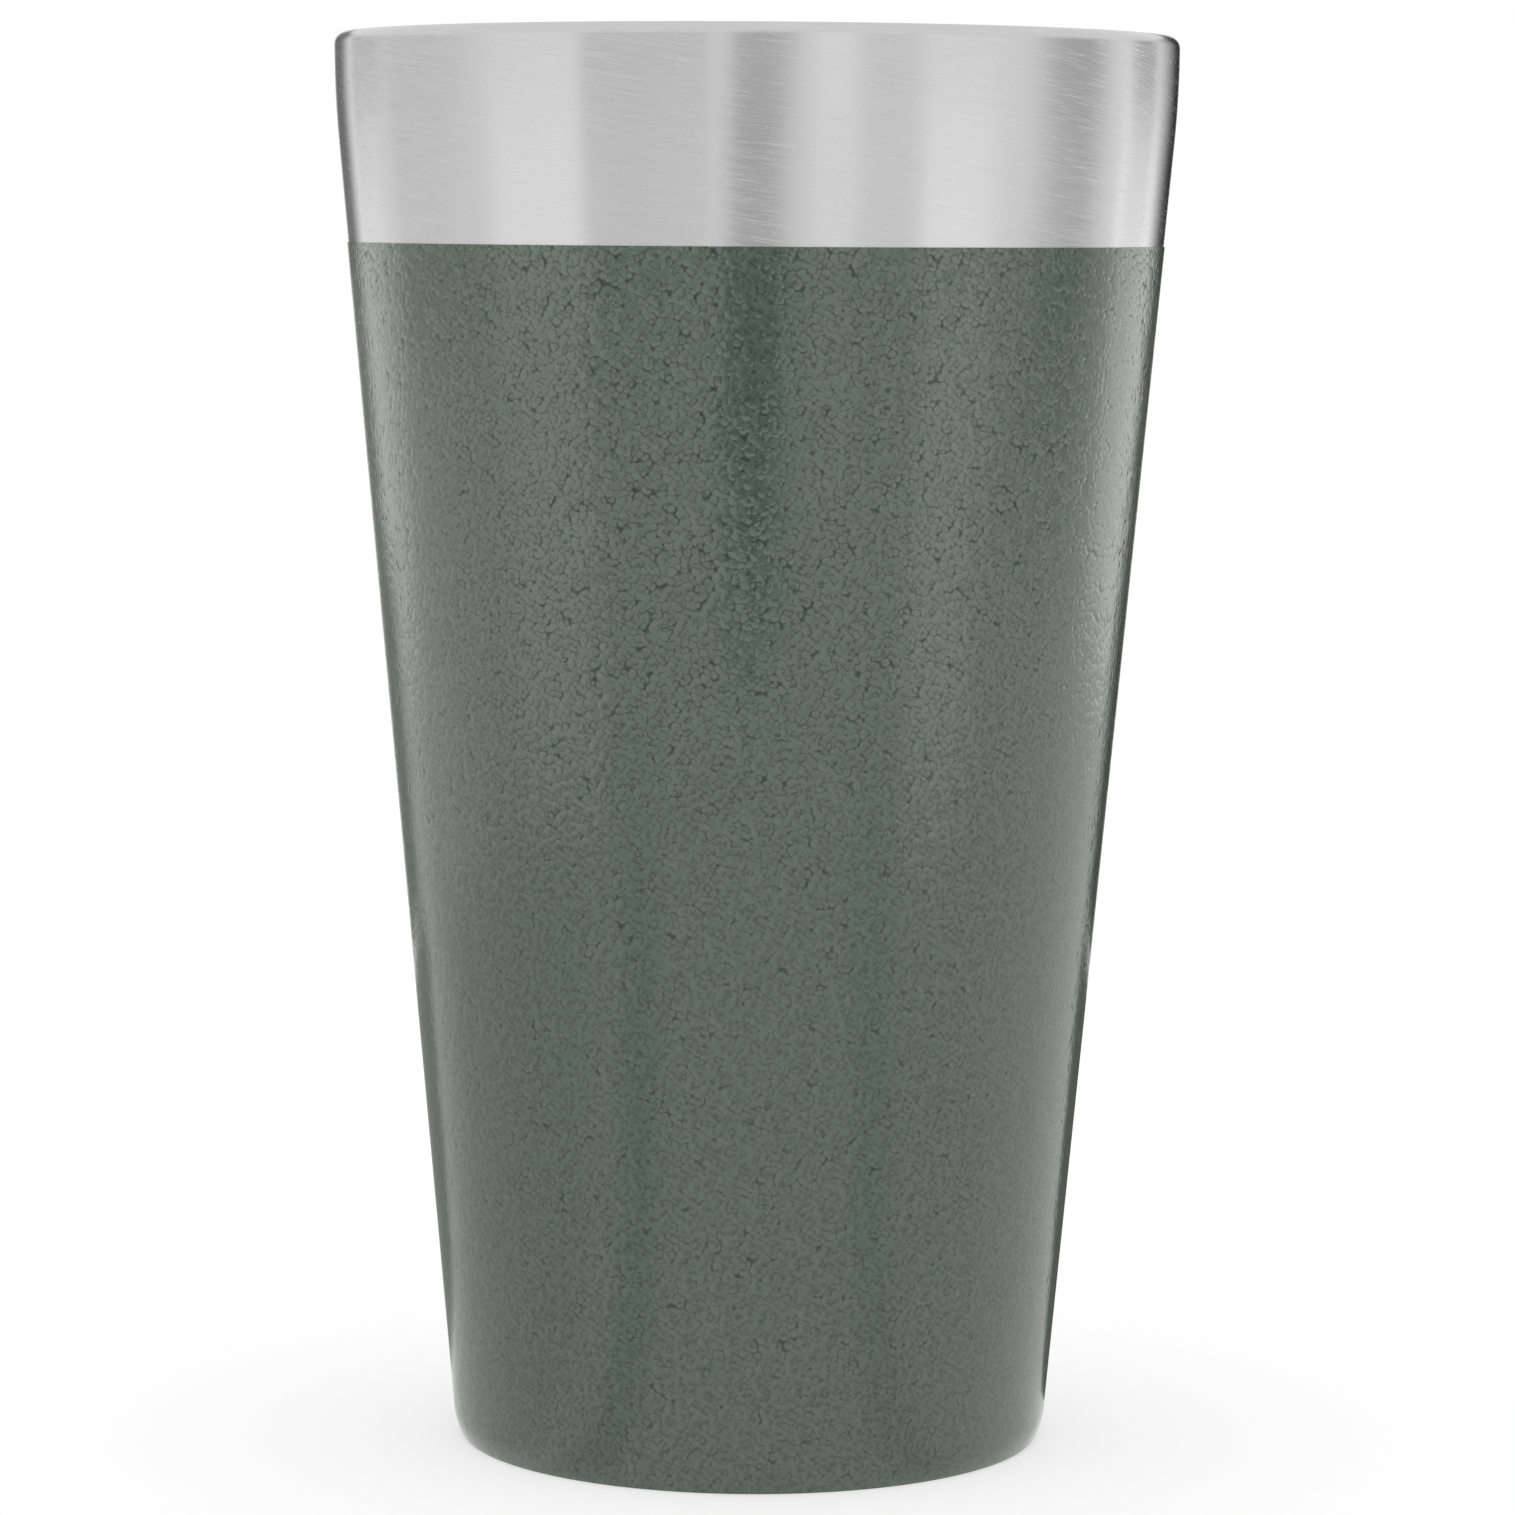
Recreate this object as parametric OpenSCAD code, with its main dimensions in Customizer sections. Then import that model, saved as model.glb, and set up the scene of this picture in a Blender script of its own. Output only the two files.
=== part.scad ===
// Insulated pint cup: two tapered steel walls that meet in a rolled lip, with the air drawn out
// between them through the bottom, and a hammertone coat below a bare steel band.
// Millimetres, +Z up, origin at the centre of the standing ring.

/* [Cup] */
// Height from the table to the crest of the lip
cup_h = 150; // [140:1:165]
// Outside diameter of the upright rim
rim_d = 89.3; // [87:0.1:93]
// Diameter at which the straight taper would meet the table
base_d = 63.1; // [61:0.1:66]
// Height of the bare steel band, up to the crest of the lip
band_h = 22; // [16:0.5:30]

/* [Walls] */
// Thickness of the steel sheet
sheet_t = 0.45; // [0.35:0.05:0.5]
// Thickness of the double wall, measured level
wall_t = 4.3; // [3.9:0.1:5]
// Thickness of the hammertone coat
coat_t = 0.12; // [0.08:0.01:0.14]

/* [Lip] */
// Thickness of the rolled lip
lip_w = 2.5; // [2.2:0.1:3]
// Radius of the bend that turns the tapered shell upright below the lip
rim_bend_r = 110; // [80:5:130]
// Height of the flared mouth of the liner, up to the crest of the lip
flare_h = 14; // [12:0.5:18]
// Radius of the bend between the flared mouth and the liner's taper
flare_bend_r = 40; // [25:5:60]

/* [Foot] */
// Height of the bend that draws the shell in at its foot
foot_h = 1.75; // [1.7:0.05:2.2]
// Radius of that bend
foot_bend_r = 8; // [6:0.5:8]
// Angle by which that bend draws the shell in
foot_turn = 18; // [12:1:18]
// Radius of the outer edge of the standing ring
edge_r = 0.6; // [0.6:0.05:0.7]
// Width of the standing ring, between its sharp corners
ring_w = 3.4; // [3:0.1:5]
// Height of the recessed panel inside the ring
recess_h = 2.4; // [1.8:0.1:2.6]

/* [Liner floor] */
// Height of the inside floor above the table
floor_h = 13; // [12.5:0.5:18]
// Radius of the corner round the inside floor
floor_corner_r = 6; // [4:0.5:8]
// Height of the seam between floor and liner wall, above the floor
floor_seam_h = 8; // [8:0.5:12]

/* [Vacuum base] */
// Height of its upper face above the table
mid_h = 6.5; // [6:0.1:7]
// Height of its skirt, which is welded to the shell
skirt_h = 2.4; // [2:0.1:2.4]
// Diameter of the pressed dimple round the port
dimple_d = 11; // [10:0.5:13]
// Height of that dimple
dimple_h = 1.4; // [1.1:0.1:1.6]
// Diameter of the port that the air was drawn through
port_d = 1.5; // [1:0.1:2]

/* [Getter] */
// Diameter of the getter pill
getter_d = 8; // [6:0.5:10]
// Height of the getter pill
getter_h = 2.2; // [1.6:0.1:2.6]
// Distance of the pill from the cup's axis
getter_at = 16; // [15:0.5:18]
// Thickness of the strap over the pill
clip_t = 0.3; // [0.2:0.05:0.4]
// Width of that strap
clip_w = 4; // [3:0.5:6]

/* [Hidden] */

steel = [0.78, 0.78, 0.77];
inner_steel = [0.62, 0.63, 0.64];
coat_green = [0.38, 0.44, 0.40];
solder_glass = [0.30, 0.24, 0.20];
getter_grey = [0.33, 0.33, 0.35];

// Smoothness of a full turn, the largest step along a bend, and the fewest steps in one
$fn = 144;
bend_step = 9;
bend_steps_min = 4;
// Points closer than this are one point
same_point = 0.0005;

// Lip and rim
lip_r = lip_w / 2;
lip_z = cup_h - lip_r;
rim_r = rim_d / 2;

// The straight taper starts at the foot and runs tangent to the rim bend
to_rim_bend = [rim_r - rim_bend_r - base_d / 2, lip_z];
taper = atan2(to_rim_bend.x, to_rim_bend.y) + asin(rim_bend_r / norm(to_rim_bend));
rim_bend = [rim_r, (rim_r - base_d / 2) / tan(taper), rim_bend_r];

// Foot: lean of the drawn-in edge, its sharp corner with the table, and the centre of its rounding
foot_lean = taper + foot_turn;
foot_bend = [outer_r(foot_h), foot_h, foot_bend_r];
foot_corner = foot_bend.x - foot_h * tan(foot_lean);
edge_centre = [foot_corner - edge_r * tan((90 - foot_lean) / 2), edge_r];
// The shell's lower seam lies on the drawn-in edge, just above its rounding
foot_seam_gap = 0.1;
foot_seam_z = edge_r * (1 - sin(foot_lean)) + foot_seam_gap;
foot_seam = [foot_corner + foot_seam_z * tan(foot_lean), foot_seam_z];
// Lean at which the coat ends on the rounding, clear of the table
coat_end_lean = 52;

// Standing ring and recessed panel of the base cover
ring_bend_r = 1;
panel_bend_r = 1.4;
ring_lean = 65;
ring_inner = foot_corner - ring_w;
panel_edge = ring_inner - recess_h / tan(ring_lean);

// Mouth of the liner: slope of the flare from its lower bend to the inside of the lip
flare_z = cup_h - flare_h;
flare_lean = atan2(rim_r - lip_w - inner_r(flare_z), flare_h - lip_r);
lip_inner = rim_r - lip_r - lip_r * tan((90 - flare_lean) / 2);
floor_seam_z = floor_h + floor_seam_h;

// Vacuum base: bends, and the dimple round the port
mid_bend_r = 1.2;
skirt_z = mid_h - skirt_h;
dimple_lean = 45;
dimple_bend_r = 1;
dimple_top_r = dimple_d / 2 - dimple_h / tan(dimple_lean);
port_r = port_d / 2;
// The bead of solder glass hangs below the port and plugs it
bead_r = 2.2;
bead_h = 1;
bead_step = 10;

// Getter strap: clearance round the pill, bend radius and foot length
clip_gap = 0.25;
clip_bend_r = 0.6;
clip_foot = 3;
pill_edge_r = 0.5;

// Outside of the shell, and drinking side of the liner, along the straight taper
function outer_r(z) = base_d / 2 + z * tan(taper);
function inner_r(z) = outer_r(z) - wall_t;
// Vacuum side of the shell
function shell_inside_r(z) = outer_r(z) - sheet_t / cos(taper);

// Corner that bends the foot's rounding from one lean to another
function edge_bend(from, to) = let (
    middle = (from + to) / 2,
    corner = edge_centre + edge_r / cos((to - from) / 2) * [cos(middle), -sin(middle)]
) [corner.x, corner.y, edge_r];
// Point on the foot's rounding where the surface has the given lean
function on_edge(lean) = edge_centre + edge_r * [cos(lean), -sin(lean)];

// A path is a list of corners [r, z, bend radius]; its first and last corners have no bend
function flat(p) = [p.x, p.y];
function unit(v) = v / norm(v);
function left_of(d) = [-d.y, d.x];
function turned(v, a) = [v.x * cos(a) - v.y * sin(a), v.x * sin(a) + v.y * cos(a)];
function turn(a, b) = atan2(a.x * b.y - a.y * b.x, a * b);
function leg(path, i) = unit(flat(path[i + 1]) - flat(path[i]));

// Points along the bend at corner i
function bend(path, i) = let (
    into = leg(path, i - 1),
    angle = turn(into, leg(path, i)),
    side = sign(angle),
    radius = path[i].z,
    start = flat(path[i]) - into * radius * tan(abs(angle) / 2),
    spoke = -side * radius * left_of(into),
    steps = max(bend_steps_min, ceil(abs(angle) / bend_step))
) [for (k = [0 : steps]) start - spoke + turned(spoke, angle * k / steps)];

// All the points of a path, with its bends
function traced(path) = let (
    last = len(path) - 1,
    points = [
        flat(path[0]),
        for (i = [1 : 1 : last - 1]) each bend(path, i),
        flat(path[last])
    ]
) [
    for (i = [0 : len(points) - 1])
        if (i == 0 || norm(points[i] - points[max(i - 1, 0)]) > same_point) points[i]
];

// The path moved sideways to its left, as the far face of a bent sheet lies
function moved_left(path, d) = let (last = len(path) - 1) [
    for (i = [0 : last]) let (
        a = leg(path, max(i - 1, 0)),
        b = leg(path, min(i, last - 1)),
        at = flat(path[i]) + d * (left_of(a) + left_of(b)) / (1 + a * b),
        inner = i == 0 || i == last ? 0 : path[i].z - d * sign(turn(a, b))
    ) [at.x, at.y, inner]
];

function reversed(list) = [for (i = [len(list) - 1 : -1 : 0]) list[i]];

// Section of a sheet of thickness t on the left of the path
module sheet_section(path, t) {
    polygon(concat(traced(path), reversed(traced(moved_left(path, t)))));
}

// Sheet spun round the cup's axis
module spun_sheet(path, t) {
    rotate_extrude()
        sheet_section(path, t);
}

// Tapered outer wall: drawn in at the foot, upright at the rim, where it meets the lip
module outer_shell() {
    color(steel)
        spun_sheet([foot_seam, foot_bend, rim_bend, [rim_r, lip_z]], sheet_t);
}

// Textured coat on the shell, round the foot and up to the bare band
module hammertone_coat() {
    coat_top = cup_h - band_h;
    color(coat_green)
        spun_sheet([
            [outer_r(coat_top), coat_top],
            foot_bend,
            edge_bend(foot_lean, coat_end_lean),
            on_edge(coat_end_lean)
        ], coat_t);
}

// Inner wall: rolled over at the lip to meet the shell, flared mouth, then a straight taper
module liner_wall() {
    color(steel)
        spun_sheet([
            [rim_r, lip_z],
            [rim_r, cup_h, lip_r],
            [lip_inner, cup_h, lip_r],
            [inner_r(flare_z), flare_z, flare_bend_r],
            [inner_r(floor_seam_z), floor_seam_z]
        ], sheet_t);
}

// Pressed pan that closes the inner wall
module liner_floor() {
    color(steel)
        spun_sheet([
            [inner_r(floor_seam_z), floor_seam_z],
            [inner_r(floor_h), floor_h, floor_corner_r],
            [0, floor_h]
        ], sheet_t);
}

// Pressed plate that closes the shell from below, with a dimple and port in the middle
module vacuum_base() {
    dimple_z = mid_h + dimple_h;
    color(inner_steel)
        spun_sheet([
            [shell_inside_r(skirt_z), skirt_z],
            [shell_inside_r(mid_h), mid_h, mid_bend_r],
            [dimple_d / 2, mid_h, dimple_bend_r],
            [dimple_top_r, dimple_z, dimple_bend_r],
            [port_r, dimple_z]
        ], sheet_t);
}

// Solder glass that melted into the port and sealed it
module seal_bead() {
    top = mid_h + dimple_h;
    seat = top - sheet_t;
    drop = [for (a = [0 : bead_step : 90]) [bead_r * cos(a), seat - bead_h * sin(a)]];
    color(solder_glass)
        rotate_extrude()
            polygon(concat([[0, top], [port_r, top], [port_r, seat]], drop));
}

// Pill that takes up the last of the gas between the walls
module getter() {
    r = getter_d / 2;
    color(getter_grey)
        translate([getter_at, 0, mid_h])
            rotate_extrude()
                polygon(traced([
                    [0, 0],
                    [r, 0, pill_edge_r],
                    [r, getter_h, pill_edge_r],
                    [0, getter_h]
                ]));
}

// Sheet strap with two welded feet that holds the pill down
module getter_clip() {
    side = getter_d / 2 + clip_gap;
    color(steel)
        translate([getter_at, 0, mid_h])
            rotate([90, 0, 90])
                linear_extrude(clip_w, center = true)
                    sheet_section([
                        [side + clip_foot, 0],
                        [side, 0, clip_bend_r],
                        [side, getter_h, clip_bend_r],
                        [-side, getter_h, clip_bend_r],
                        [-side, 0, clip_bend_r],
                        [-side - clip_foot, 0]
                    ], -clip_t);
}

// Outer bottom: recessed panel and the ring that the cup stands on
module base_cover() {
    color(steel)
        spun_sheet([
            [0, recess_h],
            [panel_edge, recess_h, panel_bend_r],
            [ring_inner, 0, ring_bend_r],
            edge_bend(coat_end_lean, 90),
            edge_bend(foot_lean, coat_end_lean),
            foot_seam
        ], sheet_t);
}

outer_shell();
hammertone_coat();
liner_wall();
liner_floor();
vacuum_base();
seal_bead();
getter();
getter_clip();
base_cover();
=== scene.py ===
"""Looks of an insulated pint cup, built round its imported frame.

Metres, +Z up, in the frame's own axes. The camera looks along +Y, so the front of the cup faces -Y.
"""

import logging
import math
from abc import ABC, abstractmethod
from collections.abc import Sequence
from dataclasses import dataclass
from enum import Enum
from itertools import pairwise

import bmesh
import bpy
from mathutils import Matrix, Vector


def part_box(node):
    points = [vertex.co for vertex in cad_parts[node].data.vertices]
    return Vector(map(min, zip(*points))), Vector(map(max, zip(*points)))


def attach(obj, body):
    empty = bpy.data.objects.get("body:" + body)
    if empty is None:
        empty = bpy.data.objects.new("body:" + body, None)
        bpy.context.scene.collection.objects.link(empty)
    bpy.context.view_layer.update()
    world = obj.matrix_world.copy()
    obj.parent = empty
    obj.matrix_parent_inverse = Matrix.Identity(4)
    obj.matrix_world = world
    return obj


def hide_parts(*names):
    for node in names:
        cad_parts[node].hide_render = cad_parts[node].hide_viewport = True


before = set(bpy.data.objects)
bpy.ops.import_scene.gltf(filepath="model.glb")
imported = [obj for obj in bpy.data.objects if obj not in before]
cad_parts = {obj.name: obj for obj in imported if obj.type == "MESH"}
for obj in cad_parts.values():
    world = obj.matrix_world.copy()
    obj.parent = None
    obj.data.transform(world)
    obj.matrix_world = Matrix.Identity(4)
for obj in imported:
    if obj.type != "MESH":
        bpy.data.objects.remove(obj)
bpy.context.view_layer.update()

log = logging.getLogger("cup")

MM = 0.001
BODY = "root"
MIDDLE = (0.5, 0.5, 0.5)
WHITE = (1.0, 1.0, 1.0, 1.0)

Colour = tuple[float, float, float, float]
Socket = bpy.types.NodeSocket
Feed = Socket | float | Colour | tuple[float, float, float]


class Slot(Enum):
    """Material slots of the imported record."""

    BAND = "brushed_steel"
    COAT = "hammertone_green"
    LINER = "liner_steel"
    PRESSED = "pressed_steel"
    BEAD = "solder_glass"
    PILL = "getter_metal"
    FOOT = "base_steel"


class Part(Enum):
    """CAD nodes of the cup."""

    SHELL = "outer_shell"
    COAT = "hammertone_coat"
    LINER_WALL = "liner_wall"
    LINER_FLOOR = "liner_floor"
    VACUUM_BASE = "vacuum_base"
    BEAD = "seal_bead"
    GETTER = "getter"
    CLIP = "getter_clip"
    BASE_COVER = "base_cover"


class Lay(Enum):
    """How the brush or tool lines of a steel face run."""

    HELIX = "slanting round the wall"
    RINGS = "level rings round the axis"


class Rank(Enum):
    """Which of the drops near a point of the coat is meant."""

    NEAREST = "F1"
    SECOND = "F2"


def set_out(made: bmesh.types.BMesh, name: str) -> bpy.types.Object:
    """Turns a finished mesh into an object of the scene.

    Args:
        made: the mesh, which is freed.
        name: name of the object.

    Returns:
        The new object.
    """
    mesh = bpy.data.meshes.new(name)
    made.to_mesh(mesh)
    made.free()
    thing = bpy.data.objects.new(name, mesh)
    bpy.context.scene.collection.objects.link(thing)
    return thing


# Sections of spun sheet


def left_of(d: Vector) -> Vector:
    """The direction a quarter turn to the left of d."""
    return Vector((-d.y, d.x))


def turned(v: Vector, angle: float) -> Vector:
    """v turned to its left by an angle in radians."""
    return Matrix.Rotation(angle, 2) @ v


@dataclass(frozen=True)
class Corner:
    """A corner of a sheet's section: distance from the axis, height and bend radius."""

    r: float
    z: float
    bend: float = 0.0

    @property
    def at(self) -> Vector:
        """The corner as a point of the section."""
        return Vector((self.r, self.z))


@dataclass(frozen=True)
class SheetPath:
    """One face of a sheet in section: straight legs joined by bends."""

    corners: tuple[Corner, ...]
    bend_step: float = math.radians(3)
    bend_steps_min: int = 6
    leg_step: float = 4 * MM
    same_place: float = 1e-4 * MM

    def leg(self, i: int) -> Vector:
        """Direction of the leg that leaves corner i."""
        return (self.corners[i + 1].at - self.corners[i].at).normalized()

    def turn(self, i: int) -> float:
        """Angle by which the path turns to its left at corner i."""
        a, b = self.leg(i - 1), self.leg(i)
        return math.atan2(a.x * b.y - a.y * b.x, a.dot(b))

    def bend(self, i: int) -> list[Vector]:
        """Points along the bend at a corner.

        Args:
            i: index of the corner, not the first or the last.

        Returns:
            The points in path order, or the corner itself where it isn't bent.
        """
        corner, into, angle = self.corners[i], self.leg(i - 1), self.turn(i)
        start = corner.at - into * corner.bend * math.tan(abs(angle) / 2)
        spoke = left_of(into) * -math.copysign(corner.bend, angle)
        steps = max(self.bend_steps_min, math.ceil(abs(angle) / self.bend_step))
        return [start - spoke + turned(spoke, angle * k / steps) for k in range(steps + 1)]

    def traced(self) -> list[Vector]:
        """All points of the path, with its bends, and with long legs divided.

        Returns:
            The points in path order.
        """
        inner = range(1, len(self.corners) - 1)
        bent = [p for i in inner for p in self.bend(i)]
        points = [self.corners[0].at]
        for target in (*bent, self.corners[-1].at):
            start = points[-1]
            steps = math.ceil(((target - start).length - self.same_place) / self.leg_step)
            points += [start.lerp(target, k / steps) for k in range(1, steps + 1)]
        return points

    def moved_left(self, gap: float) -> "SheetPath":
        """The path moved sideways, as the far face of a bent sheet lies.

        Args:
            gap: distance to the left.

        Returns:
            The moved path.
        """
        last = len(self.corners) - 1
        moved = []
        for i, corner in enumerate(self.corners):
            a, b = self.leg(max(i - 1, 0)), self.leg(min(i, last - 1))
            at = corner.at + (left_of(a) + left_of(b)) * (gap / (1 + a.dot(b)))
            bent = 0 < i < last
            bend = corner.bend - math.copysign(gap, self.turn(i)) if bent else 0.0
            moved.append(Corner(at.x, at.y, bend))
        return SheetPath(tuple(moved))


@dataclass(frozen=True)
class SpunSheet:
    """A sheet of even thickness on the left of a path, spun round the cup's axis."""

    path: SheetPath
    thickness: float
    turn_steps: int = 288
    on_axis: float = 1e-6
    sharp_angle: float = math.radians(35)

    def section(self) -> list[Vector]:
        """The closed outline of the sheet, its face first and then its back."""
        return [*self.path.traced(), *reversed(self.path.moved_left(self.thickness).traced())]

    def ring(self, mesh: bmesh.types.BMesh, point: Vector) -> list[bmesh.types.BMVert]:
        """Spins one point of the section.

        Args:
            mesh: the mesh that takes the vertices.
            point: the point, as distance from the axis and height.

        Returns:
            A ring of vertices, or a single vertex where the point lies on the axis.
        """
        if point.x < self.on_axis:
            return [mesh.verts.new((0, 0, point.y))]
        angles = [math.tau * k / self.turn_steps for k in range(self.turn_steps)]
        return [
            mesh.verts.new((point.x * math.cos(a), point.x * math.sin(a), point.y))
            for a in angles
        ]

    def build(self, name: str) -> bpy.types.Object:
        """Makes the sheet's object.

        Args:
            name: name of the piece.

        Returns:
            The new object, smooth but for the sheet's cut edges.
        """
        made = bmesh.new()
        rings = [self.ring(made, p) for p in self.section()]
        for low, high in pairwise([*rings, rings[0]]):
            for k in range(self.turn_steps if len(low) + len(high) > 2 else 0):
                after = (k + 1) % self.turn_steps
                near = [low[k], low[after]] if len(low) > 1 else low
                far = [high[after], high[k]] if len(high) > 1 else high
                made.faces.new([*near, *far])
        bmesh.ops.recalc_face_normals(made, faces=made.faces)
        piece = set_out(made, name)
        piece.data.shade_smooth()
        piece.data.set_sharp_from_angle(angle=self.sharp_angle)
        return piece


# Node trees


class Nodes:
    """Short calls that build one node tree."""

    def __init__(self, tree: bpy.types.NodeTree) -> None:
        """Starts with an empty tree."""
        self.tree = tree
        tree.nodes.clear()

    def feed(self, socket: Socket, value: Feed) -> None:
        """Fills an input socket.

        Args:
            socket: the input.
            value: an output to link to it, or the value to set.
        """
        if isinstance(value, bpy.types.NodeSocket):
            self.tree.links.new(value, socket)
        else:
            socket.default_value = value

    def add(self, kind: str, inputs: dict[str, Feed] | None = None, **settings: object) -> bpy.types.Node:
        """Adds a node.

        Args:
            kind: Blender's name for the node type.
            inputs: what goes into its sockets, by socket name.
            settings: the node's own options.

        Returns:
            The new node.
        """
        node = self.tree.nodes.new(kind)
        for name, value in settings.items():
            setattr(node, name, value)
        for name, value in (inputs or {}).items():
            self.feed(node.inputs[name], value)
        return node

    def run(self, kind: str, *values: Feed, **settings: object) -> Socket:
        """The result of a node whose inputs are filled in order.

        Args:
            kind: Blender's name for the node type.
            values: what goes into its sockets, from the first on.
            settings: the node's own options.

        Returns:
            The node's first output.
        """
        node = self.add(kind, **settings)
        for socket, value in zip(node.inputs, values):
            self.feed(socket, value)
        return node.outputs[0]

    def math(self, operation: str, *values: Feed) -> Socket:
        """The result of a Math node on one to three values."""
        return self.run("ShaderNodeMath", *values, operation=operation)

    def vector(self, operation: str, *values: Feed) -> Socket:
        """The result of a Vector Math node on one to three vectors."""
        return self.run("ShaderNodeVectorMath", *values, operation=operation)

    def dot(self, first: Feed, second: Feed) -> Socket:
        """The dot product of two vectors."""
        return self.vector("DOT_PRODUCT", first, second).node.outputs["Value"]

    def scaled(self, vector: Socket, factor: float) -> Socket:
        """A vector times a number."""
        inputs = {"Vector": vector, "Scale": factor}
        return self.add("ShaderNodeVectorMath", inputs, operation="SCALE").outputs[0]

    def joined(self, x: Feed, y: Feed, z: Feed) -> Socket:
        """A vector of three numbers."""
        return self.run("ShaderNodeCombineXYZ", x, y, z)

    def eased(self, value: Socket, low: Feed, high: Feed, start: Feed = 0.0, end: Feed = 1.0) -> Socket:
        """A value that eases from one level to another.

        Args:
            value: what drives it.
            low: where the easing begins.
            high: where the easing ends.
            start: the level up to low.
            end: the level from high on.

        Returns:
            The eased value.
        """
        levels = value, low, high, start, end
        return self.run("ShaderNodeMapRange", *levels, interpolation_type="SMOOTHSTEP")

    def level(self, share: Socket, start: Feed, end: Feed) -> Socket:
        """A value that eases from start to end as share goes from 0 to 1."""
        return self.eased(share, 0.0, 1.0, start, end)

    def between(self, share: Socket, first: Socket, second: Socket) -> Socket:
        """A number between two numbers."""
        node = self.add("ShaderNodeMix", {"Factor": share, "A": first, "B": second})
        return node.outputs[0]

    def blend(self, share: Feed, first: Feed, second: Feed) -> Socket:
        """A colour between two colours.

        Args:
            share: from 0 for the first colour to 1 for the second.
            first: the first colour.
            second: the second colour.

        Returns:
            The colour.
        """
        node = self.add("ShaderNodeMix", data_type="RGBA")
        sockets = {s.identifier: s for s in node.inputs}
        for key, fed in (("Factor_Float", share), ("A_Color", first), ("B_Color", second)):
            self.feed(sockets[key], fed)
        return next(s for s in node.outputs if s.identifier == "Result_Color")

    def mixed(self, share: Socket, first: Socket, second: Socket) -> Socket:
        """The first of two shaders, giving way to the second as share goes from 0 to 1."""
        return self.run("ShaderNodeMixShader", share, first, second)

    def seen_white(self) -> Socket:
        """Picks the rays that see the white setting itself: from the camera, in gloss, through glass.

        Returns:
            1 for such rays and 0 for others.
        """
        path = self.add("ShaderNodeLightPath").outputs
        seen = self.math("MAXIMUM", path["Is Camera Ray"], path["Is Glossy Ray"])
        return self.math("MAXIMUM", seen, path["Is Transmission Ray"])

    def noise(self, at: Socket, scale: float = 1.0, detail: float = 2.0) -> Socket:
        """A noise value about 0.5."""
        return self.add("ShaderNodeTexNoise", {"Vector": at, "Scale": scale, "Detail": detail}).outputs[0]

    def relief(self, height: Socket, depth: float, **settings: object) -> Socket:
        """The surface bent by a relief of some depth, in metres."""
        return self.add("ShaderNodeBump", {"Height": height, "Distance": depth}, **settings).outputs[0]


def blank_material(name: str) -> tuple[bpy.types.Material, Nodes]:
    """Makes a material with nothing in it yet.

    Args:
        name: name of the material.

    Returns:
        The material and its empty tree.
    """
    made = bpy.data.materials.new(name)
    made.use_nodes = True
    return made, Nodes(made.node_tree)


class Place:
    """Where a point lies on the cup, in millimetres, as sockets of a node tree."""

    parting: float = math.radians(118)
    ragged: float = math.radians(8)
    ragged_scale: float = 0.5
    sheet_gap: float = 700.0

    def __init__(self, nodes: Nodes) -> None:
        """Adds the nodes that read the place.

        Args:
            nodes: the tree.
        """
        self.at = nodes.scaled(nodes.add("ShaderNodeTexCoord").outputs["Object"], 1 / MM)
        self.x, self.y, self.z = nodes.add("ShaderNodeSeparateXYZ", {"Vector": self.at}).outputs
        self.nodes = nodes

    def reach(self) -> Socket:
        """Distance from the cup's axis."""
        return self.nodes.vector("LENGTH", self.nodes.joined(self.x, self.y, 0.0)).node.outputs["Value"]

    def turn_from_front(self) -> Socket:
        """Angle round the axis, zero at the front."""
        return self.nodes.math("ARCTAN2", self.x, self.nodes.math("MULTIPLY", self.y, -1.0))

    def turn_from_back(self) -> Socket:
        """Angle round the axis, zero at the back."""
        return self.nodes.math("ARCTAN2", self.nodes.math("MULTIPLY", self.x, -1.0), self.y)

    def unrolled(self) -> Socket:
        """The wall laid flat in two sheets, front and back, which part along ragged lines.

        Returns:
            The distance round the wall and the height, as a vector.
        """
        nodes, front = self.nodes, self.turn_from_front()
        tear = nodes.noise(self.at, self.ragged_scale)
        away = nodes.math("MULTIPLY_ADD", tear, self.ragged, nodes.math("ABSOLUTE", front))
        behind = nodes.math("GREATER_THAN", away, self.parting)
        turn = nodes.between(behind, front, self.turn_from_back())
        start = nodes.math("MULTIPLY", behind, self.sheet_gap)
        return nodes.joined(nodes.math("MULTIPLY_ADD", turn, self.reach(), start), self.z, 0.0)


# Finishes


@dataclass(frozen=True)
class Finish(ABC):
    """A finish that makes its own material."""

    slot: Slot
    name: str

    def material(self) -> bpy.types.Material:
        """Makes the material.

        Returns:
            A new material with this finish.
        """
        made, nodes = blank_material(self.name)
        shader = nodes.add("ShaderNodeBsdfPrincipled", self.dress(nodes, Place(nodes)))
        nodes.add("ShaderNodeOutputMaterial", {"Surface": shader.outputs[0]})
        return made

    @abstractmethod
    def dress(self, nodes: Nodes, place: Place) -> dict[str, Feed]:
        """What goes into the shader's sockets, by socket name."""


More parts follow.
